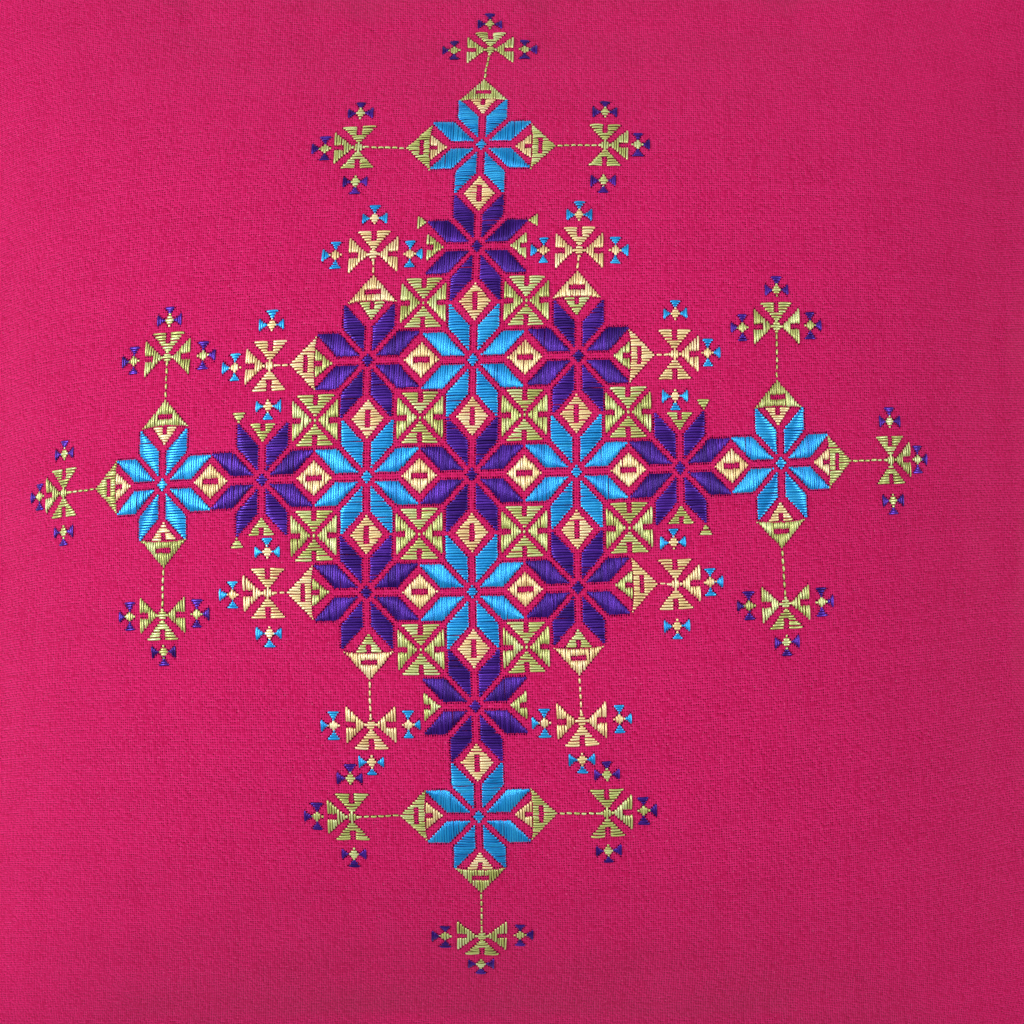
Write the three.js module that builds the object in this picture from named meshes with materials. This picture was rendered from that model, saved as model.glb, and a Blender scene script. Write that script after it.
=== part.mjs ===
// An embroidered cushion cover, filled and plump, lying on its back with the embroidered face up.
// The cover is a front and a back square of cotton, sewn together round the edge, so the filled
// cushion is one closed form: a crowned face, sides drawn in between pointed corners, and a back
// that is pressed flat where it rests. Millimetres, +Z up, origin on the surface it rests on.
import * as THREE from "three";

// The outline, seen from above. A 400 mm cover draws in to these when it is filled.
const HALF_AT_SIDES = 176;
const HALF_AT_CORNERS = 195;
const SIDE_CURVE_POWER = 3;

// The crown above the seam. The face is flatter across than it is from bottom to top, and the
// filling has settled a little towards the bottom edge.
const CROWN_HEIGHT = 74;
const CROWN_POWER_X = 3.5;
const CROWN_POWER_Y = 2.95;
const CORNER_FULLNESS = 0.16;
const SETTLE_X = 0;
const SETTLE_Y = -0.06;

// The seam hangs lower at the corners than at the middle of each side.
const SEAM_HEIGHT = 56;
const CORNER_DROOP = 8.4;

// The back would be as deep as the crown, and the surface below stops it at height 0.
const REST_ROUNDING = 9;

// The seam gathers the cloth into shallow puckers that fade away from the edge.
const PUCKER_DEPTH = 1.3;
const PUCKER_REACH = 0.22;
const PUCKER_ROOT = 0.04;
const PUCKER_WAVES = 11;
const PUCKER_WAVES_MINOR = 17;

// Facets across one panel, and how much closer together they lie near the seam.
const STEPS = 46;
const EDGE_CROWDING = 0.35;

const COTTON_MAGENTA = new THREE.Color().setRGB(0.8, 0.13, 0.39, THREE.SRGBColorSpace);

// Where grid line i of a panel lies, as a fraction from -1 at one side to 1 at the other.
function gridPlace(i) {
  const even = (2 * i) / STEPS - 1;
  return (1 - EDGE_CROWDING) * even + EDGE_CROWDING * Math.sin((even * Math.PI) / 2);
}

// Half the width across the cushion, at a fraction along the side that bounds it.
function halfWidth(along) {
  return HALF_AT_SIDES + (HALF_AT_CORNERS - HALF_AT_SIDES) * Math.abs(along) ** SIDE_CURVE_POWER;
}

// How near the seam a place is, 0 over the settled middle and 1 on the seam.
function towardsEdge(fraction, settle, power) {
  return Math.abs(fraction - settle * (1 - fraction * fraction)) ** power;
}

// The crown's height above the seam, as a share of its full height.
function crownShare(p, q) {
  const u = towardsEdge(p, SETTLE_X, CROWN_POWER_X);
  const v = towardsEdge(q, SETTLE_Y, CROWN_POWER_Y);
  return ((1 - u) * (1 - v)) / (1 - CORNER_FULLNESS * u * v);
}

function seamHeight(p, q) {
  const u = towardsEdge(p, SETTLE_X, CROWN_POWER_X);
  const v = towardsEdge(q, SETTLE_Y, CROWN_POWER_Y);
  return SEAM_HEIGHT - CORNER_DROOP * u * v;
}

// Shallow waves along each side. They rise just inside the seam, which itself stays even, and
// there are none in the middle of the panel or at the corner points.
function pucker(p, q, turn) {
  const alongSide = Math.abs(p) > Math.abs(q) ? q : p;
  const fromSide = 1 - Math.max(Math.abs(p), Math.abs(q));
  const fade = Math.max(0, 1 - fromSide / PUCKER_REACH) * Math.min(1, fromSide / PUCKER_ROOT);
  const main = Math.sin(alongSide * Math.PI * PUCKER_WAVES + turn);
  const minor = Math.sin(alongSide * Math.PI * PUCKER_WAVES_MINOR + 2 * turn);
  return PUCKER_DEPTH * fade * (main + 0.5 * minor) * (1 - Math.abs(alongSide) ** 6);
}

// Pressing on the surface below: unchanged well above it, exactly 0 where it rests.
function restOnSurface(height) {
  if (height <= -REST_ROUNDING) {
    return 0;
  }
  if (height >= REST_ROUNDING) {
    return height;
  }
  return (height + REST_ROUNDING) ** 2 / (4 * REST_ROUNDING);
}

function facePoint(p, q) {
  const z = seamHeight(p, q) + CROWN_HEIGHT * crownShare(p, q) + pucker(p, q, 0.7);
  return [p * halfWidth(q), q * halfWidth(p), z];
}

function backPoint(p, q) {
  const free = seamHeight(p, q) - CROWN_HEIGHT * crownShare(p, q) + pucker(p, q, 2.9);
  return [p * halfWidth(q), q * halfWidth(p), restOnSurface(free)];
}

// One closed mesh: the face's grid, then the back's, which shares the seam's points with it.
function filledCover() {
  const positions = [];
  const faceIndex = [];
  const backIndex = [];
  for (let j = 0; j <= STEPS; j += 1) {
    for (let i = 0; i <= STEPS; i += 1) {
      faceIndex.push(positions.length / 3);
      positions.push(...facePoint(gridPlace(i), gridPlace(j)));
    }
  }
  for (let j = 0; j <= STEPS; j += 1) {
    for (let i = 0; i <= STEPS; i += 1) {
      const onSeam = i === 0 || j === 0 || i === STEPS || j === STEPS;
      if (onSeam) {
        backIndex.push(faceIndex[j * (STEPS + 1) + i]);
      } else {
        backIndex.push(positions.length / 3);
        positions.push(...backPoint(gridPlace(i), gridPlace(j)));
      }
    }
  }
  const triangles = [];
  for (let j = 0; j < STEPS; j += 1) {
    for (let i = 0; i < STEPS; i += 1) {
      const cell = j * (STEPS + 1) + i;
      const corners = [cell, cell + 1, cell + STEPS + 2, cell + STEPS + 1];
      const [a, b, c, d] = corners.map((k) => faceIndex[k]);
      const [e, f, g, h] = corners.map((k) => backIndex[k]);
      // The diagonal runs towards the nearest corner of the panel, so no facet lies on the seam.
      const risingCorner = (i < STEPS / 2) === (j < STEPS / 2);
      if (risingCorner) {
        triangles.push(a, b, c, a, c, d, e, g, f, e, h, g);
      } else {
        triangles.push(a, b, d, b, c, d, e, h, f, f, h, g);
      }
    }
  }
  const geometry = new THREE.BufferGeometry();
  geometry.setAttribute("position", new THREE.Float32BufferAttribute(positions, 3));
  geometry.setIndex(triangles);
  geometry.computeVertexNormals();
  return geometry;
}

const cottonCloth = new THREE.MeshStandardMaterial({
  color: COTTON_MAGENTA,
  roughness: 0.9,
  metalness: 0,
});

const cushion = new THREE.Mesh(filledCover(), cottonCloth);
cushion.name = "cushion_cover";

const part = new THREE.Group();
part.add(cushion);

export default part;
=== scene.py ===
import math

import bmesh
import bpy
import numpy as np
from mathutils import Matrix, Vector


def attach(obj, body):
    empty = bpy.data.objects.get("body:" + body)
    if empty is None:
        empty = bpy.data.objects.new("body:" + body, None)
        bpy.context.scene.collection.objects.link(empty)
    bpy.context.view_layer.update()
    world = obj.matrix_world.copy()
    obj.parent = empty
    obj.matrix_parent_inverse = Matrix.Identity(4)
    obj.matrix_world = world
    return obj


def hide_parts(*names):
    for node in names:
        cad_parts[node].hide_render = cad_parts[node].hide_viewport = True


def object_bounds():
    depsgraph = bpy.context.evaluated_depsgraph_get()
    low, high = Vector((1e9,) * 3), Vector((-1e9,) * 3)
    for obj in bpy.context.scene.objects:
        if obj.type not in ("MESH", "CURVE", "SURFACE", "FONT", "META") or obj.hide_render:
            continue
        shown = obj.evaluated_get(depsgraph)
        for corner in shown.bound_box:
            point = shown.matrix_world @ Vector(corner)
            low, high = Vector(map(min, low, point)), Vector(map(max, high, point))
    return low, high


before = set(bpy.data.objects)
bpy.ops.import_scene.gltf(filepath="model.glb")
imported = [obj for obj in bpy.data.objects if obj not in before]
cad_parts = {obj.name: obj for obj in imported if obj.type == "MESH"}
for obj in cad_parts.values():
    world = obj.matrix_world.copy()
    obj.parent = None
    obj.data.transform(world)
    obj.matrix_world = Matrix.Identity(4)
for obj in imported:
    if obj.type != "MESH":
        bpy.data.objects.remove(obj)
cad_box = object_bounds()

# The filled cover
# Two 400 mm squares of plain-weave cotton, sewn right sides together round the edge, turned and
# filled, so the sides draw in, the corners stand out as points and the face rises to a crown.
# The underside is pressed flat where it rests. Metres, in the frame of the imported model.
COVER = 0.400
PANEL_CELLS = 120
EDGE_CROWDING = 0.40
HALF_AT_CORNERS = cad_box[1][0]
HALF_AT_SIDES = 0.176
SIDE_CURVE_POWER = 3
CROWN_TOP = cad_box[1][2]
SEAM_HEIGHT = 0.056
CROWN_HEIGHT = CROWN_TOP - SEAM_HEIGHT
CROWN_POWER_X = 3.5
CROWN_POWER_Y = 2.95
CORNER_FULLNESS = 0.16
SETTLE_Y = -0.06
CORNER_DROOP = 0.0084
REST_ROUNDING = 0.009


def towards_edge(fraction, settle, power):
    """How near the seam a place is, 0 over the settled middle and 1 on the seam."""
    return np.abs(fraction - settle * (1 - fraction**2)) ** power


def half_width(along):
    return HALF_AT_SIDES + (HALF_AT_CORNERS - HALF_AT_SIDES) * np.abs(along) ** SIDE_CURVE_POWER


def crowded(fraction):
    """Grid lines lie closer together near the seam."""
    return (1 - EDGE_CROWDING) * fraction + EDGE_CROWDING * np.sin(fraction * math.pi / 2)


PLAN_PLACES = 1601


def plan_place(cloth_fraction, power, settle):
    """Where a point of the cloth lies in plan, so that threads keep their length over the crown."""
    plan = np.linspace(-1, 1, PLAN_PLACES)
    height = CROWN_HEIGHT * (1 - towards_edge(plan, settle, power))
    arc = np.append(0, np.cumsum(np.hypot(np.diff(plan) * HALF_AT_SIDES, np.diff(height))))
    return np.interp(cloth_fraction, 2 * arc / arc[-1] - 1, plan)


def filled_form(s, t, side):
    """Position over the filled cover of the cloth at fractions s and t of the half panel."""
    p = plan_place(s, CROWN_POWER_X, 0)
    q = plan_place(t, CROWN_POWER_Y, SETTLE_Y)
    u = towards_edge(p, 0, CROWN_POWER_X)
    v = towards_edge(q, SETTLE_Y, CROWN_POWER_Y)
    share = (1 - u) * (1 - v) / (1 - CORNER_FULLNESS * u * v)
    height = SEAM_HEIGHT - CORNER_DROOP * u * v + side * CROWN_HEIGHT * share
    pressed = np.clip(height + REST_ROUNDING, 0, None) ** 2 / (4 * REST_ROUNDING)
    height = np.where((side < 0) & (height < REST_ROUNDING), pressed, height)
    return np.stack([p * half_width(q), q * half_width(p), height], axis=1)


RIPPLE_DEPTH = 0.10e-3
RIPPLE_WAVES = 7
RIPPLE_LENGTHS = (0.020, 0.045)
PHASE_SPAN = 6


def ripple(s, t):
    """The slight unevenness that stitching and filling leave in the face, none of it at the seam."""
    rng = np.random.default_rng(3)
    height = np.zeros_like(s)
    for _ in range(RIPPLE_WAVES):
        heading = rng.uniform(0, math.pi)
        along = (s * math.cos(heading) + t * math.sin(heading)) * COVER / 2
        length = rng.uniform(*RIPPLE_LENGTHS)
        height += RIPPLE_DEPTH * np.sin(2 * math.pi * along / length + rng.uniform(0, PHASE_SPAN))
    return height * (1 - s**4) * (1 - t**4)


PUCKER_DEPTH = 2.3e-3
PUCKER_REACH = 0.24
PUCKER_ROOT = 0.04
PUCKER_WAVES = (7, 11, 16, 23)


def puckers(s, t, side):
    """Shallow waves that the seam's gathering starts in both panels, different along each side."""
    along_side = np.where(np.abs(s) > np.abs(t), t, s)
    from_side = 1 - np.maximum(np.abs(s), np.abs(t))
    quarter = np.where(np.abs(s) > np.abs(t), (s > 0) * 1, 2 + (t > 0)) + 4 * (side < 0)
    fade = np.clip(1 - from_side / PUCKER_REACH, 0, 1) * np.clip(from_side / PUCKER_ROOT, 0, 1)
    rng = np.random.default_rng(5)
    height = np.zeros_like(s)
    for waves in PUCKER_WAVES:
        phase = rng.uniform(0, 2 * math.pi, 8)[quarter]
        height += np.sin(along_side * math.pi * waves + phase) * PUCKER_WAVES[0] / waves
    return PUCKER_DEPTH * height * fade * (1 - along_side**6)


# On the flat grid, which runs from -1 to 1, a point past this is on the seam.
ON_SEAM = 0.9999
SAME_POINT = 1e-4


def sewn_panels():
    """The two panels as grids that share the seam, lying flat, the back one below the face."""
    cloth = bmesh.new()
    bmesh.ops.create_grid(cloth, x_segments=PANEL_CELLS, y_segments=PANEL_CELLS, size=1)
    copied = bmesh.ops.duplicate(cloth, geom=cloth.verts[:] + cloth.edges[:] + cloth.faces[:])
    back = [item for item in copied["geom"] if isinstance(item, bmesh.types.BMFace)]
    bmesh.ops.reverse_faces(cloth, faces=back)
    back_inside = {v for face in back for v in face.verts
                   if max(abs(v.co.x), abs(v.co.y)) < ON_SEAM}
    bmesh.ops.translate(cloth, verts=list(back_inside), vec=(0, 0, -1))
    bmesh.ops.remove_doubles(cloth, verts=cloth.verts, dist=SAME_POINT)
    # The turned edge is crisp, so the shading breaks along it.
    for edge in cloth.edges:
        middle = (edge.verts[0].co + edge.verts[1].co) / 2
        edge.smooth = max(abs(middle.x), abs(middle.y)) < ON_SEAM
    return cloth


def coordinates(mesh):
    flat = np.empty(len(mesh.vertices) * 3, np.float32)
    mesh.vertices.foreach_get("co", flat)
    return flat.reshape(-1, 3).astype(float)


HELD_WITHIN = 0.72
FREE_BEYOND = 0.86
FILLING_PRESSURE = 4.5
CLOTH_FRAMES = 20
CLOTH_CAP = 6e-3
LEAST_MOVE = 1e-9
COTTON_IN_CLOTH = {
    "quality": 6, "mass": 0.15, "air_damping": 3, "tension_stiffness": 30,
    "compression_stiffness": 12, "shear_stiffness": 5, "bending_stiffness": 0.02,
    "tension_damping": 20, "compression_damping": 20, "shear_damping": 20, "bending_damping": 1,
}


def settled_in_cloth(mesh, start):
    """The cover after a cloth simulation, in which the sewn edge still has its flat length.

    The middle of each panel is held to the filled form, and the outer part takes its own wrinkles.
    """
    trial = bpy.data.objects.new("trial", mesh.copy())
    bpy.context.collection.objects.link(trial)
    trial.data.vertices.foreach_set("co", start.astype(np.float32).ravel())
    trial.shape_key_add(name="filled")
    rest = trial.shape_key_add(name="laid_flat")
    flat = np.stack([cloth_s, cloth_t, np.zeros_like(cloth_s)], axis=1) * COVER / 2
    rest.data.foreach_set("co", flat.astype(np.float32).ravel())
    towards_seam = np.maximum(np.abs(cloth_s), np.abs(cloth_t))
    held = np.clip((FREE_BEYOND - towards_seam) / (FREE_BEYOND - HELD_WITHIN), 0, 1).round(2)
    holding = trial.vertex_groups.new(name="held")
    for weight in np.unique(held[held > 0]):
        holding.add(np.nonzero(held == weight)[0].tolist(), float(weight), "REPLACE")
    settings = trial.modifiers.new("cotton", "CLOTH").settings
    for name, setting in COTTON_IN_CLOTH.items():
        setattr(settings, name, setting)
    settings.rest_shape_key = rest
    settings.vertex_group_mass = "held"
    settings.use_pressure = True
    settings.uniform_pressure_force = FILLING_PRESSURE
    settings.effector_weights.gravity = 0
    for step in range(1, CLOTH_FRAMES + 1):
        bpy.context.scene.frame_set(step)
    moved = coordinates(trial.evaluated_get(bpy.context.evaluated_depsgraph_get()).data) - start
    far = np.linalg.norm(moved, axis=1, keepdims=True)
    bpy.context.scene.frame_set(1)
    trial_mesh = trial.data
    bpy.data.objects.remove(trial)
    bpy.data.meshes.remove(trial_mesh)
    settled = start + moved * np.minimum(1, CLOTH_CAP / np.maximum(far, LEAST_MOVE))
    settled[:, 2] = np.maximum(settled[:, 2], 0)
    return settled


cloth = sewn_panels()
cover_mesh = bpy.data.meshes.new("cushion")
cloth.to_mesh(cover_mesh)
cloth.free()
laid_flat = coordinates(cover_mesh)
side = np.where(laid_flat[:, 2] < -0.5, -1, 1)
cloth_s = crowded(laid_flat[:, 0])
cloth_t = crowded(laid_flat[:, 1])
filled = filled_form(cloth_s, cloth_t, side)
filled[:, 2] += ripple(cloth_s, cloth_t) * (side > 0) + puckers(cloth_s, cloth_t, side)
filled = settled_in_cloth(cover_mesh, filled)
cover_mesh.vertices.foreach_set("co", filled.astype(np.float32).ravel())
cover_mesh.polygons.foreach_set("use_smooth", [True] * len(cover_mesh.polygons))
cover_mesh.update()
cushion = bpy.data.objects.new("cushion", cover_mesh)
bpy.context.collection.objects.link(cushion)

# The cotton's threads
# Plain weave, 14.3 by 12.9 threads a centimetre, which the embroidery counts. The cloth sits a
# little askew and bowed in the cover, so thread lines run slightly off the cover's own sides.
THREAD_X = 0.6961e-3
THREAD_Y = 0.7811e-3
MEDALLION_PLACE = (-7.45e-3, 15.31e-3)
# Which powers of the two even thread places, in metres, make up where a thread really lies.
COLUMN_LIE = {(1, 0): 0.998, (0, 1): 0.003, (2, 0): -0.104, (1, 1): -0.228, (0, 2): 0.292,
              (3, 0): 0.28, (2, 1): -1.34, (1, 2): -2.23, (4, 0): 1.63, (0, 4): -6.55}
ROW_LIE = {(1, 0): 0.025, (0, 1): 1.0, (2, 0): 0.061, (1, 1): 0.026, (0, 2): 0.085, (3, 0): 0.87,
           (2, 1): -4.29, (1, 2): -0.88, (0, 3): 0.24, (4, 0): -6.72, (0, 4): -1.29}
LIE_STEADY_PAST = 0.175
UNBOWING_STEPS = 12


def lie(along_row, up_column, terms):
    """A place in metres, summed from the named powers of the even thread counts."""
    return sum(share * along_row**m * up_column**n for (m, n), share in terms.items())


def thread_to_cloth(tx, ty):
    """Metres on the laid-flat cover of a place given in threads from the medallion's middle."""
    a = np.asarray(tx) * THREAD_X
    b = np.asarray(ty) * THREAD_Y
    near_a = np.clip(a, -LIE_STEADY_PAST, LIE_STEADY_PAST)
    near_b = np.clip(b, -LIE_STEADY_PAST, LIE_STEADY_PAST)
    x = lie(near_a, near_b, COLUMN_LIE) + a - near_a
    y = lie(near_a, near_b, ROW_LIE) + b - near_b
    return x + MEDALLION_PLACE[0], y + MEDALLION_PLACE[1]


def cloth_to_thread(x, y):
    """The other way round, by stepping back along the same small distortion."""
    tx = (x - MEDALLION_PLACE[0]) / THREAD_X
    ty = (y - MEDALLION_PLACE[1]) / THREAD_Y
    for _ in range(UNBOWING_STEPS):
        back_x, back_y = thread_to_cloth(tx, ty)
        tx = tx + (x - back_x) / THREAD_X
        ty = ty + (y - back_y) / THREAD_Y
    return tx, ty


# Two maps go with the cloth: its threads counted from the medallion's middle, and millimetres
# beside and in from the seam.
MILLIMETRES = 1e3
half_cover = COVER / 2
thread_x, thread_y = cloth_to_thread(cloth_s * half_cover, cloth_t * half_cover)
corner_vertex = np.empty(len(cover_mesh.loops), np.int32)
cover_mesh.loops.foreach_get("vertex_index", corner_vertex)
thread_map = cover_mesh.uv_layers.new(name="threads")
thread_uv = np.stack([thread_x[corner_vertex], thread_y[corner_vertex]], axis=1)
thread_map.data.foreach_set("uv", thread_uv.astype(np.float32).ravel())
beside_seam = np.minimum(np.abs(cloth_s), np.abs(cloth_t)) * half_cover * MILLIMETRES
from_seam = (1 - np.maximum(np.abs(cloth_s), np.abs(cloth_t))) * half_cover * MILLIMETRES
seam_map = cover_mesh.uv_layers.new(name="seam")
seam_uv = np.stack([beside_seam[corner_vertex], from_seam[corner_vertex]], axis=1)
seam_map.data.foreach_set("uv", seam_uv.astype(np.float32).ravel())


class Value:
    """A shader socket that takes Python's arithmetic."""

    tree = None

    def __init__(self, socket):
        self.socket = socket

    @staticmethod
    def node(kind, settings=None, **links):
        """Adds a node, sets its properties, then its inputs by name or, as in_0, by number."""
        node = Value.tree.nodes.new(kind)
        for name, setting in (settings or {}).items():
            if name == "stops":
                while len(node.color_ramp.elements) < len(setting):
                    node.color_ramp.elements.new(0.5)
                for element, (place, colour) in zip(node.color_ramp.elements, setting):
                    element.position = place
                    element.color = colour
            else:
                setattr(node, name, setting)
        for name, value in links.items():
            key = int(name[3:]) if name.startswith("in_") else name.replace("_", " ")
            if isinstance(value, Value):
                Value.tree.links.new(value.socket, node.inputs[key])
            else:
                node.inputs[key].default_value = value
        return node

    @staticmethod
    def maths(operation, *terms):
        inputs = {f"in_{i}": term for i, term in enumerate(terms)}
        return Value(Value.node("ShaderNodeMath", {"operation": operation}, **inputs).outputs[0])

    def __add__(self, other):
        return Value.maths("ADD", self, other)

    __radd__ = __add__

    def __sub__(self, other):
        return Value.maths("SUBTRACT", self, other)

    def __rsub__(self, other):
        return Value.maths("SUBTRACT", other, self)

    def __mul__(self, other):
        return Value.maths("MULTIPLY", self, other)

    __rmul__ = __mul__

    def __pow__(self, other):
        return Value.maths("POWER", self, other)

    def floor(self):
        return Value.maths("FLOOR", self)

    def fraction(self):
        return Value.maths("FRACT", self)

    def absolute(self):
        return Value.maths("ABSOLUTE", self)

    def larger(self, other):
        return Value.maths("MAXIMUM", self, other)

    def clamped(self):
        return Value.maths("MAXIMUM", Value.maths("MINIMUM", self, 1.0), 0.0)

    def blend(self, low, high):
        """The colour between two, self of the way from low to high."""
        mix = Value.node("ShaderNodeMix", {"data_type": "RGBA"}, in_0=self, in_6=low, in_7=high)
        return Value(mix.outputs[2])


def srgb(red, green, blue):
    """A colour read as screen values, for a shader."""
    linear = [((c + 0.055) / 1.055) ** 2.4 if c > 0.04045 else c / 12.92
              for c in (red / 255, green / 255, blue / 255)]
    return (*linear, 1.0)


def new_material(name, roughness, sheen, specular):
    material = bpy.data.materials.new(name)
    material.use_nodes = True
    Value.tree = material.node_tree
    shader = material.node_tree.nodes["Principled BSDF"]
    shader.inputs["Roughness"].default_value = roughness
    shader.inputs["Sheen Weight"].default_value = sheen
    shader.inputs["Specular IOR Level"].default_value = specular
    return material, shader


# The lit top and shaded body are painted light and shade on the threads' crowns and low parts. The gap
# colour is painted shade in the weave's gaps, and lint is the cloth's own.
COTTON_LIT_TOP = srgb(220, 36, 111)
COTTON_SHADED_BODY = srgb(182, 7, 76)
COTTON_GAP_SHADE = srgb(104, 0, 28)
COTTON_LINT = srgb(232, 110, 155)
THREAD_WANDER = 0.55
THREAD_ROUNDING = 0.9
THREAD_LEVEL = 0.6
THREAD_SWING = 0.4
GAP_BESIDE_COLUMN = 0.16
GAP_BESIDE_ROW = 0.44
THREAD_TONE = 0.12
CROSSING_TONE = 0.75
SLUB_TONE = 0.95
MOTTLE_TONE = 0.25
HEIGHT_LIGHT = 0.55
WARP_LIGHT = 0.35
LINT_PAST = 0.775
LINT_MOST = 0.4
WEAVE_RELIEF = 0.12
GATHER_RELIEF = 1.1
GATHER_REACH = 15
GATHER_STRETCH = (0.30, 0.035)


def noise(place, scale, detail):
    """Soft noise, about 0.5, over a flat place."""
    node = Value.node("ShaderNodeTexNoise", {"noise_dimensions": "2D"},
                      Vector=place, Scale=scale, Detail=detail)
    return Value(node.outputs[0])


def chance(dimensions, **place):
    """A random share from 0 to 1, another one at each whole place."""
    node = Value.node("ShaderNodeTexWhiteNoise", {"noise_dimensions": dimensions}, **place)
    return Value(node.outputs[0])


def pair(across, along):
    return Value(Value.node("ShaderNodeCombineXYZ", in_0=across, in_1=along).outputs[0])


def map_pair(name):
    """A UV map as one vector, and as its two values."""
    place = Value(Value.node("ShaderNodeUVMap", {"uv_map": name}).outputs[0])
    split = Value.node("ShaderNodeSeparateXYZ", in_0=place)
    return place, Value(split.outputs[0]), Value(split.outputs[1])


def cotton_material():
    """Plain weave in thread counts: rounded threads over and under, painted lighter where they stand
    high, and painted shade in the gap at each corner.
    """
    material, shader = new_material("magenta_cotton", roughness=0.85, sheen=0.05, specular=0.10)
    threads, across, along = map_pair("threads")
    across = across + (noise(threads, 0.45, 2.0) - 0.5) * THREAD_WANDER
    along = along + (noise(threads, 0.37, 2.0) - 0.5) * THREAD_WANDER
    column = across.floor()
    row = along.floor()
    from_column = (across.fraction() - 0.5).absolute() * 2
    from_row = (along.fraction() - 0.5).absolute() * 2

    # Warp and weft go over each other by turns, each highest where it lies on top.
    warp_up = 1 - 4 * ((column + row) * 0.5).fraction()
    warp_over = THREAD_LEVEL + THREAD_SWING * warp_up * (1 - from_row**2)
    weft_over = THREAD_LEVEL - THREAD_SWING * warp_up * (1 - from_column**2)
    warp_top = (1 - THREAD_ROUNDING * from_column**2) ** 0.5 * warp_over
    weft_top = (1 - THREAD_ROUNDING * from_row**2) ** 0.5 * weft_over
    height = warp_top.larger(weft_top)

    # The gaps between four threads differ in size, and each gap is painted dark with the shade that
    # falls in it.
    gap_size = chance("2D", Vector=pair((across + 0.5).floor(), (along + 0.5).floor()))
    beside_column = ((from_column - GAP_BESIDE_COLUMN) * 2.0).clamped()
    beside_row = ((from_row - GAP_BESIDE_ROW) * 2.8).clamped()
    shaded_gap = beside_column * beside_row * (0.20 + 1.10 * gap_size**1.4)

    # Threads and crossings differ in tone, and slubs and a slow mottle run over them.
    tone = (chance("1D", W=column) + chance("1D", W=row + 0.37) - 1) * THREAD_TONE
    tone = tone + (chance("2D", Vector=pair(column, row)) - 0.5) * CROSSING_TONE
    tone = tone + (noise(threads, 0.6, 3.0) - 0.5) * SLUB_TONE
    tone = tone + (noise(threads, 0.045, 3.0) - 0.5) * MOTTLE_TONE
    # Painted light and shade: the colour runs from the shaded body to the lit top where a thread
    # stands higher and along each warp's middle, and the random tones lie over that.
    lightness = (height * HEIGHT_LIGHT + (1 - from_column) * WARP_LIGHT + tone).clamped()
    colour = lightness.blend(COTTON_SHADED_BODY, COTTON_LIT_TOP)
    # Painted shade: the gap at each corner of four threads is coloured dark.
    colour = shaded_gap.clamped().blend(colour, COTTON_GAP_SHADE)
    lint = ((noise(threads, 0.8, 1.0) - LINT_PAST) * 30).clamped() * LINT_MOST
    colour = lint.blend(colour, COTTON_LINT)

    # Fine gathers run in from the seam and fade, and there are none at the corner points.
    _, beside, inward = map_pair("seam")
    stretched = pair(beside * GATHER_STRETCH[0], inward * GATHER_STRETCH[1])
    near_seam = (1 - inward * (1 / GATHER_REACH)).clamped()
    from_corner = half_cover * MILLIMETRES - beside
    off_corner = ((from_corner - GATHER_REACH) * (1 / GATHER_REACH)).clamped()
    gathered = (noise(stretched, 1.0, 2.0) - 0.5) * near_seam * off_corner
    relief = (height - shaded_gap * 0.5) * WEAVE_RELIEF + gathered * GATHER_RELIEF
    bump = Value.node("ShaderNodeBump", Height=relief, Distance=1e-3, Strength=0.8)
    tree = material.node_tree
    tree.links.new(colour.socket, shader.inputs["Base Color"])
    tree.links.new(bump.outputs[0], shader.inputs["Normal"])
    return material


cover_mesh.materials.append(cotton_material())
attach(cushion, "root")
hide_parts("cushion_cover")

# Where the embroidery lies
# A stitch follows the cloth's own surface, so the face is read back from the finished mesh as a
# grid, and any place counted in threads gets its point and its normal from it.
GRID_SLACK = 1e-7
grid_lines = crowded(np.linspace(-1, 1, PANEL_CELLS + 1)) * half_cover
on_face = side > 0
line_x = np.searchsorted(grid_lines, cloth_s[on_face] * half_cover - GRID_SLACK)
line_y = np.searchsorted(grid_lines, cloth_t[on_face] * half_cover - GRID_SLACK)
face_grid = np.empty((PANEL_CELLS + 1, PANEL_CELLS + 1, 3))
face_grid[line_y, line_x] = coordinates(cover_mesh)[on_face]


def unit(vectors):
    return vectors / np.linalg.norm(vectors, axis=-1, keepdims=True)


def grid_cell(places):
    cell = np.clip(np.searchsorted(grid_lines, places) - 1, 0, PANEL_CELLS - 1)
    return cell, (places - grid_lines[cell]) / (grid_lines[cell + 1] - grid_lines[cell])


def on_cloth(tx, ty):
    """The point on the face of a place in thread counts, and the face's normal there."""
    x, y = thread_to_cloth(tx, ty)
    i, u = grid_cell(x)
    j, v = grid_cell(y)
    u = u[..., None]
    v = v[..., None]
    low = face_grid[j, i] * (1 - u) + face_grid[j, i + 1] * u
    high = face_grid[j + 1, i] * (1 - u) + face_grid[j + 1, i + 1] * u
    left = face_grid[j, i] * (1 - v) + face_grid[j + 1, i] * v
    right = face_grid[j, i + 1] * (1 - v) + face_grid[j + 1, i + 1] * v
    normal = unit(np.cross(right - left, high - low))
    return low * (1 - v) + high * v, normal


# One laid stitch
# A flat bundle of floss filaments that comes up through the cloth at one end, lies across it and
# goes down at the other, so it is widest and highest in the middle and tucks in at both ends.
FLOSS_HEIGHT = 0.36e-3
SATIN_HEIGHT = 0.26e-3
FLOSS_SUNK = 0.06e-3
PADDED_RISE = 0.06
PADDED_MOST = 0.48e-3
END_WIDTH = 0.36
END_SLOPE = 0.10e-3
END_BEND = 0.34e-3
STATIONS = 8
AROUND = 7

# How wide a stitch is for the thread that it covers: packed satin bulges, spaced stitches part.
SATIN = 1.13
SPACED = 0.97


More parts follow.
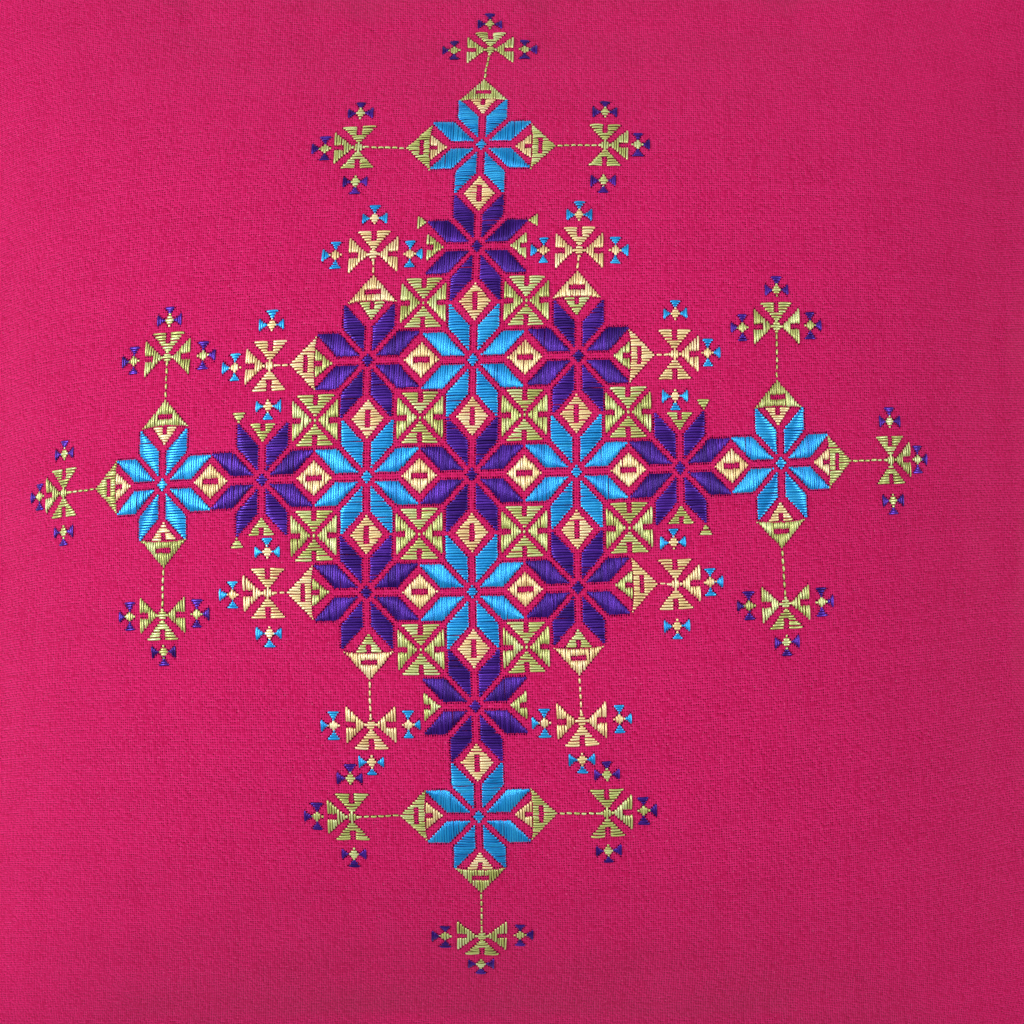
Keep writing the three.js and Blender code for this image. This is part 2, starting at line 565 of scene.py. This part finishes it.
def stitch_blank():
    """A closed tube of STATIONS rings. x is the ring's number and y, z a flattened half round."""
    blank = bmesh.new()
    ring = bmesh.ops.create_circle(blank, segments=AROUND, radius=1)["verts"]
    for k, vertex in enumerate(ring):
        turn = math.pi * k / (AROUND - 1)
        vertex.co = (0, -math.cos(turn), math.sin(turn) ** 0.8)
    edges = blank.edges[:]
    bmesh.ops.holes_fill(blank, edges=edges)
    for _ in range(STATIONS - 1):
        grown = bmesh.ops.extrude_edge_only(blank, edges=edges)["geom"]
        moved = [item for item in grown if isinstance(item, bmesh.types.BMVert)]
        edges = [item for item in grown if isinstance(item, bmesh.types.BMEdge) and
                 all(v in moved for v in item.verts)]
        bmesh.ops.translate(blank, verts=moved, vec=(1, 0, 0))
    bmesh.ops.holes_fill(blank, edges=edges)
    bmesh.ops.recalc_face_normals(blank, faces=blank.faces)
    blank_mesh = bpy.data.meshes.new("stitch_blank")
    blank.to_mesh(blank_mesh)
    blank.free()
    return blank_mesh


blank_mesh = stitch_blank()
blank_places = coordinates(blank_mesh)
blank_faces = [tuple(face.vertices) for face in blank_mesh.polygons]
bpy.data.meshes.remove(blank_mesh)


DRIFT_WAVES = 6
DRIFT_LENGTHS = (12, 26)


def drift(tx, ty):
    """A slow unevenness over the cloth, about -1 to 1, that neighbouring stitches share."""
    rng = np.random.default_rng(21)
    height = np.zeros_like(tx)
    for _ in range(DRIFT_WAVES):
        heading = rng.uniform(0, math.pi)
        along = tx * math.cos(heading) + ty * math.sin(heading)
        waves = 2 * math.pi * along / rng.uniform(*DRIFT_LENGTHS)
        height += np.sin(waves + rng.uniform(0, PHASE_SPAN)) / 2
    return height


# How far hand-made stitches vary: ends in threads, the rest as shares.
SATIN_END_STRAY = 0.07
SPACED_END_STRAY = 0.10
BOW_STRAY = 0.06
HEIGHT_STRAY = 0.10
WIDTH_STRAY = 0.06
RISE_STRAY = 0.15
HUMP_LEAN = 0.7


def stitch_points(stitches, rng):
    """Vertex positions of all the stitches, and each vertex's place along and across its stitch."""
    ends = np.array([s[:4] for s in stitches], float)
    share = np.array([s[4] for s in stitches], float)
    count = len(ends)
    stray = np.where(share > 1, SATIN_END_STRAY, SPACED_END_STRAY)[:, None]
    ends = ends + rng.normal(0, 1, ends.shape) * stray
    bow = rng.normal(0, BOW_STRAY, count)
    height = np.where(share > 1, SATIN_HEIGHT, FLOSS_HEIGHT) * rng.normal(1, HEIGHT_STRAY, count)
    span = ends[:, 2:] - ends[:, :2]
    direction = unit(span)
    pitch = np.abs(direction[:, 1]) * THREAD_X + np.abs(direction[:, 0]) * THREAD_Y
    width = share * pitch * rng.normal(1, WIDTH_STRAY, count)
    length = np.hypot(span[:, 0] * THREAD_X, span[:, 1] * THREAD_Y)
    near = np.minimum(END_SLOPE, 0.10 * length) / length
    bend = np.minimum(END_BEND, 0.26 * length) / length
    ring = blank_places[:, 0].astype(int)
    inner = np.linspace(0, 1, STATIONS - 4)
    along = np.empty((count, STATIONS))
    along[:, 0] = 0
    along[:, 1] = near
    along[:, 2:-2] = bend[:, None] + inner * (1 - 2 * bend[:, None])
    along[:, -2] = 1 - near
    along[:, -1] = 1
    arch = np.clip(np.minimum(along, 1 - along) / bend[:, None], 0, 1)
    arch = np.sqrt(1 - (1 - arch) ** 2)
    side_bow = bow[:, None] * np.sin(along * math.pi)
    rise = np.minimum(PADDED_RISE * length, PADDED_MOST) * rng.normal(1, RISE_STRAY, count)
    tx = ends[:, :1] + span[:, :1] * along - direction[:, 1:] * side_bow
    ty = ends[:, 1:2] + span[:, 1:] * along + direction[:, :1] * side_bow
    middle, normal = on_cloth(tx, ty)
    forward = unit(np.gradient(middle, axis=1))
    across = np.cross(normal, forward)
    half = width[:, None] / 2 * (END_WIDTH + (1 - END_WIDTH) * arch)
    lift = height[:, None] * arch
    lean = HUMP_LEAN * drift(tx.mean(axis=1), ty.mean(axis=1))
    hump = 4 * along * (1 - along) * (1 + lean[:, None] * (2 * along - 1))
    middle = middle + normal * (rise[:, None] * hump)[..., None]
    y = blank_places[:, 1]
    z = blank_places[:, 2]
    points = (middle[:, ring] + across[:, ring] * (half[:, ring] * y)[..., None]
              + normal[:, ring] * (lift[:, ring] * z - FLOSS_SUNK)[..., None])
    run = along[:, ring] * length[:, None] * MILLIMETRES
    turn = np.broadcast_to(np.arctan2(z, -y) / math.pi, run.shape)
    return points, run, turn


SHEEN_DRIFT_TONE = 0.25
OWN_TONE = 0.35
TONE_DRIFT_AWAY = 50


def floss_piece(name, stitches, seed):
    """All the stitches of one colour, joined into one mesh with its own strand map."""
    rng = np.random.default_rng(seed)
    points, run, turn = stitch_points(stitches, rng)
    count, each = run.shape
    corners = np.array([k for face in blank_faces for k in face])
    sizes = np.array([len(face) for face in blank_faces])
    mesh = bpy.data.meshes.new(name)
    mesh.vertices.add(count * each)
    mesh.vertices.foreach_set("co", points.astype(np.float32).ravel())
    loops = (np.arange(count)[:, None] * each + corners).ravel()
    mesh.loops.add(len(loops))
    mesh.loops.foreach_set("vertex_index", loops.astype(np.int32))
    all_sizes = np.tile(sizes, count)
    mesh.polygons.add(len(all_sizes))
    mesh.polygons.foreach_set("loop_start", np.append(0, np.cumsum(all_sizes)[:-1]).astype(np.int32))
    mesh.polygons.foreach_set("use_smooth", [True] * len(all_sizes))
    strand = mesh.uv_layers.new(name="strand")
    uv = np.stack([run.ravel()[loops], turn.ravel()[loops]], axis=1)
    strand.data.foreach_set("uv", uv.astype(np.float32).ravel())
    tone = mesh.attributes.new("tone", "FLOAT", "POINT")
    # Neighbouring stitches share a slow drift in tone, a painted sheen that varies over the floss;
    # each stitch also has a random tone of its own.
    places = np.array([s[:4] for s in stitches], float)
    middles = (places[:, :2] + places[:, 2:]) / 2
    sheen_drift = drift(middles[:, 0] + TONE_DRIFT_AWAY, middles[:, 1])
    own = rng.uniform(-OWN_TONE, OWN_TONE, count)
    tones = np.clip(0.5 + SHEEN_DRIFT_TONE * sheen_drift + own, 0, 1)
    tone.data.foreach_set("value", np.repeat(tones, each).astype(np.float32))
    mesh.update(calc_edges=True)
    mesh.validate()
    piece = bpy.data.objects.new(name, mesh)
    bpy.context.collection.objects.link(piece)
    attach(piece, "root")
    return piece


FLOSS_ROUGHNESS = 0.31
FILAMENTS = 6
FILAMENT_RELIEF = 0.06e-3
SIDE_SHADE_START = 0.18
LOW_SIDE_SHADE = 0.72
TONE_SHADE = 0.34
FILAMENT_SHADE = 0.55
BASE_SHADE = 0.13


def floss_material(name, deep_and_shaded, body, glint, lustre, gloss):
    """Glossy stranded floss: fine filaments along the stitch, each stitch its own tone, painted shade
    at the sides and painted glints.
    """
    material, shader = new_material(name, FLOSS_ROUGHNESS, sheen=0.0, specular=gloss)
    shader.inputs["Metallic"].default_value = lustre
    _, run, turn = map_pair("strand")
    tone_node = Value.node("ShaderNodeAttribute", {"attribute_name": "tone"})
    tone = Value(tone_node.outputs["Fac"])
    place = Value.node("ShaderNodeCombineXYZ", in_0=run * 0.25, in_1=turn * FILAMENTS, in_2=tone * 40)
    grain = Value.node("ShaderNodeTexNoise", Vector=Value(place.outputs[0]), Scale=1.6, Detail=3.0)
    filament = Value(grain.outputs[0])
    # Painted shade: each stitch's colour darkens towards the deep stop at its sides, and the glint
    # stop is a painted highlight.
    side_shade = (((turn - 0.5).absolute() - SIDE_SHADE_START) * 4.2).clamped()
    shade = tone * TONE_SHADE + filament * FILAMENT_SHADE + BASE_SHADE - side_shade * LOW_SIDE_SHADE
    stops = [(0.05, deep_and_shaded), (0.50, body), (0.95, glint)]
    ramp = Value.node("ShaderNodeValToRGB", {"stops": stops}, in_0=shade.clamped())
    bump = Value.node("ShaderNodeBump", Height=filament, Distance=FILAMENT_RELIEF, Strength=0.32)
    tree = material.node_tree
    tree.links.new(ramp.outputs[0], shader.inputs["Base Color"])
    tree.links.new(bump.outputs[0], shader.inputs["Normal"])
    return material


# The motifs' shapes
# Every motif is counted in threads from its own middle. Columns of upright stitches and rows of
# level ones fill the same shape turned a quarter, so a shape is drawn once, pointing along +X.
REPEAT = 44


def turned(stitches, quarter):
    """The same stitches, turned by quarters anticlockwise."""
    result = stitches
    for _ in range(quarter % 4):
        result = [(-y0, x0, -y1, x1, w) for x0, y0, x1, y1, w in result]
    return result


def flipped(stitches):
    return [(x0, -y0, x1, -y1, w) for x0, y0, x1, y1, w in stitches]


def moved(stitches, dx, dy):
    return [(x0 + dx, y0 + dy, x1 + dx, y1 + dy, w) for x0, y0, x1, y1, w in stitches]


def column(x, low, high, width):
    return (x, low, x, high, width)


def knot(lengths, width=SATIN, reach=2.0):
    """A small diamond of five upright stitches, the outer two at the reach from its middle."""
    places = (-reach, -1, 0, 1, reach)
    return [column(x, -length / 2, length / 2, width) for x, length in zip(places, lengths)]


# The stars
# Eight-pointed stars of floss in satin stitch, one stitch to a thread. Each star has eight
# slanted petals about a small knot, with a lane of bare cloth two threads wide between them.
PETAL_START = 4
PETAL_END = 22
PETAL_LANE = 1.65
PETAL_WIDTH = 10.9
PETAL_OUTER_SLANT = 1.6
PETAL_INNER_SLANT = 11.4
SHORTEST_STITCH = 0.6
STAR_KNOT = (1.0, 2.8, 4.6, 2.8, 1.0)


def star_petal():
    """The petal just above the +X arm: upright stitches between its lane and its slanted side."""
    stitches = []
    for x in np.arange(PETAL_START, PETAL_END + 0.5):
        low = max(PETAL_LANE, x - PETAL_INNER_SLANT)
        high = min(PETAL_WIDTH, x - PETAL_OUTER_SLANT)
        if high - low > SHORTEST_STITCH:
            stitches.append(column(x, low, high, SATIN))
    return stitches


def star():
    petal = star_petal()
    stitches = turned(knot(STAR_KNOT), 1)
    for quarter in range(4):
        stitches += turned(petal, quarter) + turned(flipped(petal), quarter)
    return stitches


PURPLE_STARS = [(0, 0), (1, 1), (1, -1), (-1, 1), (-1, -1), (2, 0), (-2, 0), (0, 2), (0, -2)]
BLUE_STARS = [(1, 0), (-1, 0), (0, 1), (0, -1), (3, 0), (-3, 0), (0, 3), (0, -3)]

# Some of the stars were sewn a fraction of a thread off their places.
STRAYS = {(1, 1): (0.7, 0.1), (-1, 1): (-0.7, 0.3), (-1, -1): (-0.3, 0.1), (0, 1): (-0.2, -0.5),
          (0, -1): (-0.2, -0.4), (-3, 0): (0.4, -0.4), (3, 0): (-0.3, 0.3), (0, -3): (-0.1, 0.5)}


def at_stars(stitches, stars):
    placed = []
    for i, j in stars:
        stray = STRAYS.get((i, j), (0, 0))
        placed += moved(stitches, i * REPEAT + stray[0], j * REPEAT + stray[1])
    return placed


purple_stitches = at_stars(star(), PURPLE_STARS)
blue_stitches = at_stars(star(), BLUE_STARS)

# The slotted triangles
# Between the stars lie triangles of spaced stitches in yellow and green, each with a slot of bare
# cloth at its base. Two make the diamond between neighbours, four make the square between rows.
def slotted_triangle(start, pitch, lengths, slotted, slot):
    """Upright stitches from a point at start towards +X, growing, the last ones split by a slot."""
    stitches = []
    for k, length in enumerate(lengths):
        x = start + k * pitch
        if k >= len(lengths) - slotted:
            stitches.append(column(x, slot / 2, length / 2, SPACED))
            stitches.append(column(x, -length / 2, -slot / 2, SPACED))
        else:
            stitches.append(column(x, -length / 2, length / 2, SPACED))
    return stitches


DIAMOND_REACH = 7
DIAMOND_WIDEST = 13.4
DIAMOND_STEP = 1.8
DIAMOND_SLOT = 2.1
DIAMOND_SLOT_REACH = 3


def diamond():
    """Between two stars that are neighbours along X, with a slot over its seven middle stitches."""
    stitches = []
    for x in range(-DIAMOND_REACH, DIAMOND_REACH + 1):
        length = DIAMOND_WIDEST - DIAMOND_STEP * abs(x)
        if abs(x) <= DIAMOND_SLOT_REACH:
            stitches.append(column(x, DIAMOND_SLOT / 2, length / 2, SPACED))
            stitches.append(column(x, -length / 2, -DIAMOND_SLOT / 2, SPACED))
        else:
            stitches.append(column(x, -length / 2, length / 2, SPACED))
    return stitches


SQUARE_WING = (1.5, 3.4, 5.4, 7.4, 9.4, 11.4, 13.4, 15.4)
SQUARE_START = 2.0
SQUARE_PITCH = 1.03
SQUARE_SLOT = 2.0
SQUARE_MIDDLE = 1.4


def green_square():
    """Four triangles about a point, with diagonal lanes between them."""
    wing = slotted_triangle(SQUARE_START, SQUARE_PITCH, SQUARE_WING, 4, SQUARE_SLOT)
    stitches = [column(0, -SQUARE_MIDDLE / 2, SQUARE_MIDDLE / 2, SPACED)]
    for quarter in range(4):
        stitches += turned(wing, quarter)
    return stitches


neighbours_x = [(i, 0) for i in range(-3, 3)] + [(i, j) for j in (-1, 1) for i in (-1, 0)]
yellow_stitches = []
for i, j in neighbours_x:
    yellow_stitches += moved(diamond(), (i + 0.5) * REPEAT, j * REPEAT)
    yellow_stitches += moved(turned(diamond(), 1), j * REPEAT, (i + 0.5) * REPEAT)
green_stitches = []
for i in (-0.5, 0.5):
    for j in (-0.5, 0.5):
        green_stitches += moved(green_square(), i * REPEAT, j * REPEAT)
        green_stitches += moved(green_square(), 3 * i * REPEAT, j * REPEAT)
        green_stitches += moved(green_square(), i * REPEAT, 3 * j * REPEAT)

# The arms
# On its outer sides each outer star carries half a diamond, a long triangle, a line of running
# stitch and a cross with three wings, and round the cross three trefoils. The lines differ in
# length from arm to arm, as they do when a design is counted by hand.
HALF_DIAMOND = (1.2, 2.6, 4.2, 5.8, 7.4, 9.0, 10.6)
HALF_DIAMOND_START = 15.0
HALF_DIAMOND_SLOT = 1.9
TRIANGLE_BASE = 21.2
TRIANGLE_BASE_BOW = 0.8
TRIANGLE_TIP = 32.2
TRIANGLE_HALF = 10.5
TRIANGLE_SLOT = (24.6, 26.4)
TRIANGLE_SLOT_HALF = 3.2
DASH_PERIOD = 3.05
DASH_LENGTH = 2.3
DASH_WIDTH = 0.9
LINE_CLEAR = (0.8, 1.5)
CROSS_KNOT = (1.3, 3.0, 5.6, 3.0, 1.3)
CROSS_WING = (1.1, 2.8, 4.6, 6.5, 8.4, 10.2, 12.1, 14.0)
CROSS_WING_START = 2.6
CROSS_WING_LATER = 0.3
CROSS_WING_PITCH = 1.05
CROSS_SLOT = 2.2
TREFOIL_KNOT = (0.9, 2.5, 4.1, 2.5, 0.9)
KNOT_REACH = 2.25
TREFOIL_FAN = (0.7, 1.8, 3.2, 4.7)
TREFOIL_FAN_START = 2.4
TREFOIL_FAN_PITCH = 0.88
TREFOIL_FAN_WIDTH = 1.08
TREFOIL_FAN_SIZES = (0.85, 1.1)
TREFOIL_OUT = 14.8
TREFOIL_BESIDE = 15.8
TREFOIL_STRAY = 0.4


def half_diamond():
    return slotted_triangle(HALF_DIAMOND_START, 1.0, HALF_DIAMOND, 3, HALF_DIAMOND_SLOT)


def long_triangle():
    """Stitches along the arm, from a bowed base to the tip, with a slot across the middle."""
    stitches = []
    for y in np.arange(-10, 11):
        share = abs(y) / TRIANGLE_HALF
        base = TRIANGLE_BASE + TRIANGLE_BASE_BOW * (1 - share * share)
        tip = TRIANGLE_TIP - (TRIANGLE_TIP - TRIANGLE_BASE) * share
        if abs(y) < TRIANGLE_SLOT_HALF:
            stitches.append((base, y, TRIANGLE_SLOT[0], y, SPACED))
            stitches.append((TRIANGLE_SLOT[1], y, tip, y, SPACED))
        else:
            stitches.append((base, y, tip, y, SPACED))
    return stitches


def running_line(first, last):
    """Dashes from a triangle's tip to the knot of its cross."""
    length = math.dist(first, last)
    heading = ((last[0] - first[0]) / length, (last[1] - first[1]) / length)
    dashes = []
    for start in np.arange(LINE_CLEAR[0], length - LINE_CLEAR[1], DASH_PERIOD):
        near = (first[0] + heading[0] * start, first[1] + heading[1] * start)
        far = (near[0] + heading[0] * DASH_LENGTH, near[1] + heading[1] * DASH_LENGTH)
        dashes.append((*near, *far, DASH_WIDTH))
    return dashes


def cross(quarter):
    """A knot and three wings.

    Rows lie further apart than columns, so the wings that point up and down have one stitch less.
    """
    stitches = knot(CROSS_KNOT, SPACED, KNOT_REACH)
    for side_turn in (0, 1, 3):
        upright = (quarter + side_turn) % 2
        start = CROSS_WING_START + CROSS_WING_LATER * upright
        wing = slotted_triangle(start, CROSS_WING_PITCH, CROSS_WING[upright:], 4, CROSS_SLOT)
        stitches += turned(wing, side_turn)
    return stitches


def trefoil_fan(size):
    """Upright stitches that widen outwards from a trefoil's knot."""
    stitches = []
    for k, length in enumerate(TREFOIL_FAN):
        x = TREFOIL_FAN_START + TREFOIL_FAN_PITCH * k * size
        stitches.append(column(x, -length / 2 * size, length / 2 * size, TREFOIL_FAN_WIDTH))
    return stitches


# The star an arm grows from, the quarter it points to, the reach of its cross in threads, and how
# far it veers.
YELLOW_ARMS = [
    (-1, 1, 1, 41.7, 0.3), (1, 1, 1, 41.6, -0.4), (-1, -1, 3, 50.8, 0.3), (1, -1, 3, 50.9, 0.1),
    (-1, 1, 2, 42.0, 0.4), (-1, -1, 2, 41.5, -0.3), (1, 1, 0, 42.1, -0.2), (1, -1, 0, 40.9, -0.3),
]
GREEN_ARMS = [
    (0, 3, 2, 53.6, -0.1), (0, 3, 0, 54.8, -0.7), (0, 3, 1, 48.2, -2.4), (0, -3, 2, 52.9, -0.3),
    (0, -3, 0, 53.5, 0.4), (0, -3, 3, 52.9, 0.1), (-3, 0, 1, 49.2, -0.9), (-3, 0, 3, 51.5, 0.1),
    (-3, 0, 2, 49.7, 0.0), (3, 0, 1, 54.0, 0.6), (3, 0, 3, 54.3, -0.2), (3, 0, 0, 51.9, -0.3),
]
TRIANGLE_STEP_YELLOW = (1.3, 0.3)
TRIANGLE_STEP_GREEN = (0.6, 1.1)


def on_arm(stitches, arm):
    i, j, quarter = arm[:3]
    return moved(turned(stitches, quarter), i * REPEAT, j * REPEAT)


def triangle_step(arm, step):
    """How far an arm's triangles stand off their star: out, and in towards the medallion's axis."""
    i, j, quarter = arm[:3]
    inward = -np.sign((j, -i, -j, i)[quarter])
    return (step[0] if inward else 0), step[1] * inward


def embroider_arm(arm, step, cross_list, diamond_list, fan_list):
    quarter, reach, veer = arm[2:]
    out, aside = triangle_step(arm, step)
    diamond_list += on_arm(moved(half_diamond(), out, aside), arm)
    cross_list += on_arm(moved(long_triangle(), out, aside), arm)
    cross_list += on_arm(running_line((TRIANGLE_TIP + out, aside), (reach, veer)), arm)
    cross_list += on_arm(moved(cross(quarter), reach, veer), arm)
    for side_turn in (0, 1, 3):
        away = TREFOIL_BESIDE if side_turn else TREFOIL_OUT
        away = away + hand.uniform(-TREFOIL_STRAY, TREFOIL_STRAY)
        off = hand.uniform(-TREFOIL_STRAY, TREFOIL_STRAY)
        trefoil = moved(knot(TREFOIL_KNOT, SATIN, KNOT_REACH), away, off)
        cross_list += on_arm(moved(turned(trefoil, side_turn), reach, veer), arm)
        for fan_turn in (0, 1, 3):
            petal = turned(trefoil_fan(hand.uniform(*TREFOIL_FAN_SIZES)), fan_turn)
            petal = moved(petal, away, off)
            fan_list += on_arm(moved(turned(petal, side_turn), reach, veer), arm)


hand = np.random.default_rng(7)
for arm in YELLOW_ARMS:
    embroider_arm(arm, TRIANGLE_STEP_YELLOW, yellow_stitches, green_stitches, blue_stitches)
for arm in GREEN_ARMS:
    embroider_arm(arm, TRIANGLE_STEP_GREEN, green_stitches, yellow_stitches, purple_stitches)

# The four purple stars at the ends of the middle row and column have no arm, only a half diamond on
# each free side, and three of them a small fan beyond two petal tips: star, x, y and quarter.
ARMLESS = [(-2, 0, 1), (-2, 0, 3), (2, 0, 1), (2, 0, 3), (0, 2, 0), (0, 2, 2), (0, -2, 0), (0, -2, 2)]
TIP_FANS = [
    (-2, 0, -10.4, 22.6, 1), (-2, 0, -10.4, -22.6, 3), (2, 0, 10.4, 22.6, 1),
    (2, 0, 10.4, -22.6, 3), (0, 2, -22.6, 10.4, 2), (0, 2, 22.6, 10.4, 0),
]
TIP_FAN = (0.9, 2.4, 3.9, 5.0)
for arm in ARMLESS:
    green_stitches += on_arm(half_diamond(), arm)
tip_fan = [column(k, -length / 2, length / 2, SPACED) for k, length in enumerate(TIP_FAN)]
for i, j, x, y, quarter in TIP_FANS:
    green_stitches += moved(turned(tip_fan, quarter), i * REPEAT + x, j * REPEAT + y)

# The four flosses
# All the stitches of one colour are one mesh. The floss is glossy stranded cotton, pale where the
# light catches the crown of it; its colour is also painted deeper at a stitch's sides as shade, and
# its palest stop is a painted glint.
blue = floss_piece("blue_floss", blue_stitches, 11)
purple = floss_piece("purple_floss", purple_stitches, 12)
yellow = floss_piece("yellow_floss", yellow_stitches, 13)
green = floss_piece("green_floss", green_stitches, 14)
blue.data.materials.append(floss_material(
    "blue_floss", srgb(0, 50, 132), srgb(0, 158, 240), srgb(60, 198, 252), 0.55, 0.9))
purple.data.materials.append(floss_material(
    "purple_floss", srgb(20, 0, 52), srgb(60, 16, 130), srgb(106, 52, 194), 0.60, 0.5))
yellow.data.materials.append(floss_material(
    "yellow_floss", srgb(150, 88, 30), srgb(251, 220, 152), srgb(255, 248, 214), 0.30, 0.9))
green.data.materials.append(floss_material(
    "green_floss", srgb(84, 60, 20), srgb(198, 206, 110), srgb(238, 250, 200), 0.32, 0.9))

# The needle holes' painted shadows
# Where a stitch goes down the needle has pushed the cotton's threads apart, and a small gap stays
# open just past each end; a flat dark disc there is painted shadow for the shade inside it.
HOLE_RADIUS = 0.28e-3
SPACED_HOLE_RADIUS = 0.24e-3
HOLE_PAST_END = 0.36
HOLE_LIFT = 0.02e-3
HOLE_SIDES = 6
HOLE_SIZES = (0.6, 1.15)
HOLE_SHADOW = srgb(52, 0, 34)


def needle_hole_shadows(stitches):
    """A small dark disc of shadow past both ends of every stitch, wider where stitches are packed."""
    ends = np.array([s[:4] for s in stitches], float)
    packed = np.array([s[4] >= SATIN for s in stitches])
    span = unit(ends[:, 2:] - ends[:, :2])
    first = ends[:, :2] - span * HOLE_PAST_END
    last = ends[:, 2:] + span * HOLE_PAST_END
    places = np.concatenate([first, last])
    point, normal = on_cloth(places[:, 0], places[:, 1])
    level = unit(np.cross(normal, np.array([0.0, 1.0, 0.0])))
    upward = np.cross(normal, level)
    rng = np.random.default_rng(15)
    radius = np.tile(np.where(packed, HOLE_RADIUS, SPACED_HOLE_RADIUS), 2)
    radius = (radius * rng.uniform(*HOLE_SIZES, len(places)))[:, None, None]
    turn = np.arange(HOLE_SIDES) * 2 * math.pi / HOLE_SIDES
    rim = level[:, None] * np.cos(turn)[:, None] - upward[:, None] * np.sin(turn)[:, None]
    points = point[:, None] + normal[:, None] * HOLE_LIFT + rim * radius
    faces = np.arange(len(places) * HOLE_SIDES).reshape(-1, HOLE_SIDES)
    mesh = bpy.data.meshes.new("needle_hole_shadows")
    mesh.from_pydata(points.reshape(-1, 3).tolist(), [], faces.tolist())
    return mesh


hole_shadow_mesh = needle_hole_shadows(blue_stitches + purple_stitches + yellow_stitches + green_stitches)
# The discs carry a flat dark colour: painted shadow where the holes are only shade.
hole_shadow_material, hole_shadow_shader = new_material("painted_hole_shade", roughness=1.0, sheen=0.0, specular=0.0)
hole_shadow_shader.inputs["Base Color"].default_value = HOLE_SHADOW
hole_shadow_mesh.materials.append(hole_shadow_material)
hole_shadow_discs = bpy.data.objects.new("needle_hole_shadows", hole_shadow_mesh)
bpy.context.collection.objects.link(hole_shadow_discs)
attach(hole_shadow_discs, "root")

# The floor, lights and camera
# A plain pale floor, a wide soft light from the left and a weaker one from the right, and the
# camera straight above the face, which fills the picture.
CAMERA_ABOVE_CROWN = 0.850
CAMERA_PLACE = (0.0043, 0.0025)
PIXELS_PER_METRE = 3400
PICTURE = 1024
SENSOR = 36.0
FLOOR_SIZE = 6
FLOOR_COLOUR = srgb(236, 234, 231)
ROOM_LIGHT = 0.22
LIGHTS_AIM_AT = Vector((0, 0, 0.08))

floor_mesh = bpy.data.meshes.new("floor")
ground = bmesh.new()
bmesh.ops.create_grid(ground, x_segments=1, y_segments=1, size=FLOOR_SIZE)
ground.to_mesh(floor_mesh)
ground.free()
floor = bpy.data.objects.new("floor", floor_mesh)
bpy.context.collection.objects.link(floor)
floor_material, floor_shader = new_material("pale_floor", roughness=0.7, sheen=0.0, specular=0.3)
floor_shader.inputs["Base Color"].default_value = FLOOR_COLOUR
floor_mesh.materials.append(floor_material)


def soft_light(name, place, size, tall, power):
    light = bpy.data.lights.new(name, "AREA")
    light.energy = power
    light.shape = "RECTANGLE"
    light.size = size
    light.size_y = tall
    lamp = bpy.data.objects.new(name, light)
    lamp.location = place
    aim = LIGHTS_AIM_AT - lamp.location
    lamp.rotation_euler = aim.to_track_quat("-Z", "Y").to_euler()
    bpy.context.collection.objects.link(lamp)


soft_light("window_left", (-1.5, 0.15, 1.25), size=0.9, tall=0.7, power=26.5)
soft_light("window_right", (1.5, -0.05, 1.15), size=0.9, tall=0.7, power=15)
soft_light("ceiling", (-0.4, 0.9, 2.2), size=2.4, tall=2.4, power=17)
world = bpy.data.worlds.new("studio")
world.use_nodes = True
world.node_tree.nodes["Background"].inputs[0].default_value = (1, 1, 1, 1)
world.node_tree.nodes["Background"].inputs[1].default_value = ROOM_LIGHT
bpy.context.scene.world = world
bpy.context.scene.view_settings.view_transform = "Standard"

camera = bpy.data.objects.new("camera", bpy.data.cameras.new("camera"))
camera.location = (*CAMERA_PLACE, CROWN_TOP + CAMERA_ABOVE_CROWN)
camera.data.sensor_width = SENSOR
camera.data.lens = SENSOR * PIXELS_PER_METRE * CAMERA_ABOVE_CROWN / PICTURE
bpy.context.collection.objects.link(camera)
bpy.context.scene.camera = camera
